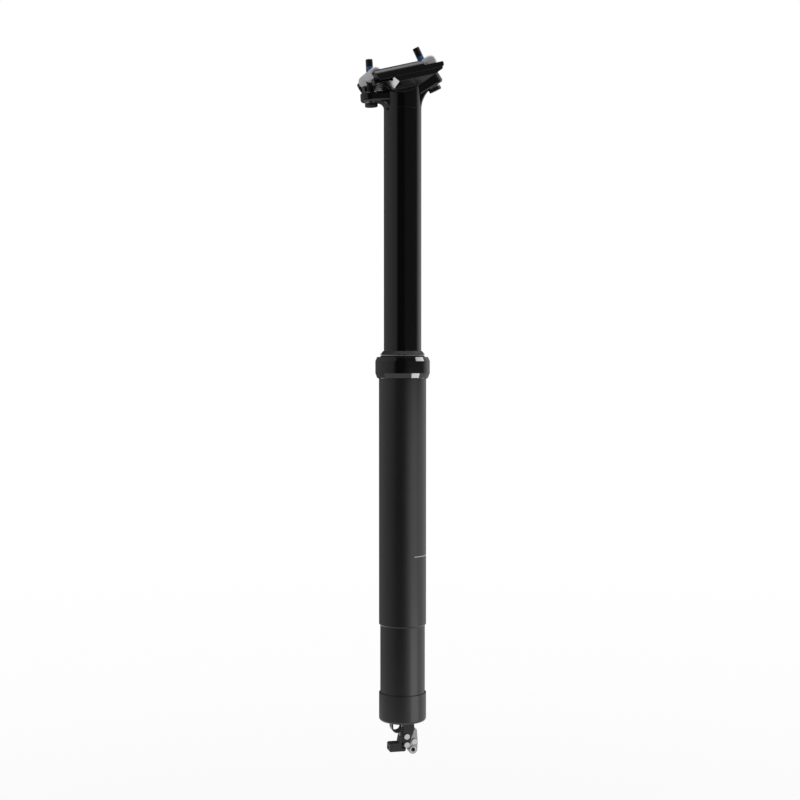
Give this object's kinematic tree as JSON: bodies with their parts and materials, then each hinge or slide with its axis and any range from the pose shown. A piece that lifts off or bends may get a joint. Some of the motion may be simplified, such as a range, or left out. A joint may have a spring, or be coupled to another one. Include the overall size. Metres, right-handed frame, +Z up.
{
  "type": "dropper seatpost",
  "caption": "Telescoping bicycle seatpost: a keyed stanchion slides in a sealed outer tube, with a tilting two-bolt saddle clamp and a cable-pulled release lever under its foot.",
  "frame": {"origin": "on the post's axis, at the shoulder of the outer tube under the collar nut", "axes": "+Z up the post's axis, +X to the rear of the bicycle, Y lateral"},
  "size_m": [0.0557, 0.0544, 0.4731],
  "materials": {
    "tube_black": "satin black anodised",
    "gloss_black": "gloss black anodised",
    "forged_black": "satin black anodised forging",
    "actuator_black": "black anodised",
    "bare_alloy": "bare, lightly brushed",
    "inner_alloy": "machined",
    "polished_steel": "polished",
    "inner_steel": "ground",
    "black_steel": "black oxide",
    "seal_rubber": "moulded",
    "foam": "oiled foam",
    "bearing_plastic": "moulded",
    "key_brass": "machined"
  },
  "bodies": {
    "outer": {"outer_tube": "tube_black", "collar_nut": "gloss_black", "wiper_seal": "seal_rubber", "wiper_clip": "bare_alloy", "foam_ring": "foam", "upper_bushing": "bearing_plastic", "lower_cap": "tube_black", "piston_rod": "inner_steel", "piston": "inner_alloy", "piston_nut": "inner_steel", "rod_nut": "inner_steel", "bottom_bumper": "seal_rubber", "actuator_bracket": "actuator_black", "cable_stop": "actuator_black", "stop_screws": "polished_steel", "lever_pivot_pin": "polished_steel"},
    "inner_post": {"stanchion": "gloss_black", "head": "forged_black", "top_out_bumper": "seal_rubber", "guide_keys": "key_brass", "lower_bushing": "bearing_plastic", "stanchion_end_nut": "inner_alloy", "cartridge_tube": "inner_steel", "cartridge_gland": "inner_alloy", "cartridge_plug": "inner_alloy"},
    "float": {"floating_piston": "inner_alloy"},
    "saddle_clamp": {"lower_cradle": "forged_black", "upper_clamp_left": "forged_black", "upper_clamp_right": "forged_black"},
    "front_nut": {"front_barrel_nut": "bare_alloy"},
    "rear_nut": {"rear_barrel_nut": "bare_alloy"},
    "front_bolt": {"front_bolt": "black_steel", "front_washer": "inner_steel"},
    "rear_bolt": {"rear_bolt": "black_steel", "rear_washer": "inner_steel"},
    "lever": {"release_lever": "bare_alloy", "lever_rivet": "polished_steel"},
    "barrel": {"cable_barrel": "polished_steel", "barrel_set_screw": "black_steel"},
    "valve": {"release_pin": "polished_steel", "valve_poppet": "key_brass"}
  },
  "joints": [
    {"name": "post_slide", "type": "slide", "parent": "outer", "child": "inner_post", "axis": [0, 0, 1], "range_m": [-0.15, 0]},
    {"name": "floating_piston_slide", "type": "slide", "parent": "inner_post", "child": "float", "axis": [0, 0, 1], "range_m": [0, 0.0464]},
    {"name": "clamp_tilt", "type": "hinge", "parent": "inner_post", "child": "saddle_clamp", "pos_m": [-0.004, 0, 0.2045], "axis": [0, -1, 0], "range_deg": [-7, 7]},
    {"name": "front_nut_turn", "type": "hinge", "parent": "saddle_clamp", "child": "front_nut", "pos_m": [-0.02217, 0, 0.19884], "axis": [0, -1, 0], "range_deg": [-9, 9]},
    {"name": "rear_nut_turn", "type": "hinge", "parent": "saddle_clamp", "child": "rear_nut", "pos_m": [0.0147, 0, 0.20803], "axis": [0, -1, 0], "range_deg": [-9, 9]},
    {"name": "front_bolt_swing", "type": "hinge", "parent": "inner_post", "child": "front_bolt", "pos_m": [-0.02094, 0, 0.17476], "axis": [0, -1, 0], "range_deg": [-1.5, 1.5]},
    {"name": "rear_bolt_swing", "type": "hinge", "parent": "inner_post", "child": "rear_bolt", "pos_m": [0.02451, 0, 0.18835], "axis": [0, -1, 0], "range_deg": [-1.8, 1.8]},
    {"name": "lever_swing", "type": "hinge", "parent": "outer", "child": "lever", "pos_m": [0.0018, 0, -0.24], "axis": [0, 1, 0], "range_deg": [0, 10], "stiffness_Nm_per_rad": 0.1, "springref_deg": -5.73},
    {"name": "barrel_swivel", "type": "hinge", "parent": "lever", "child": "barrel", "pos_m": [0.0066, 0, -0.2495], "axis": [0, 1, 0], "range_deg": [-15, 15]},
    {"name": "release_pin_slide", "type": "slide", "parent": "outer", "child": "valve", "axis": [0, 0, 1], "range_m": [0, 0.0003]}
  ],
  "couplings": [
    {"joint": "floating_piston_slide", "follows": "post_slide", "ratio": -0.30864},
    {"joint": "front_nut_turn", "follows": "clamp_tilt", "ratio": -1.202},
    {"joint": "rear_nut_turn", "follows": "clamp_tilt", "ratio": -1.243},
    {"joint": "front_bolt_swing", "follows": "clamp_tilt", "ratio": -0.202},
    {"joint": "rear_bolt_swing", "follows": "clamp_tilt", "ratio": -0.243},
    {"joint": "release_pin_slide", "follows": "lever_swing", "m_per_rad": 0.00165}
  ]
}
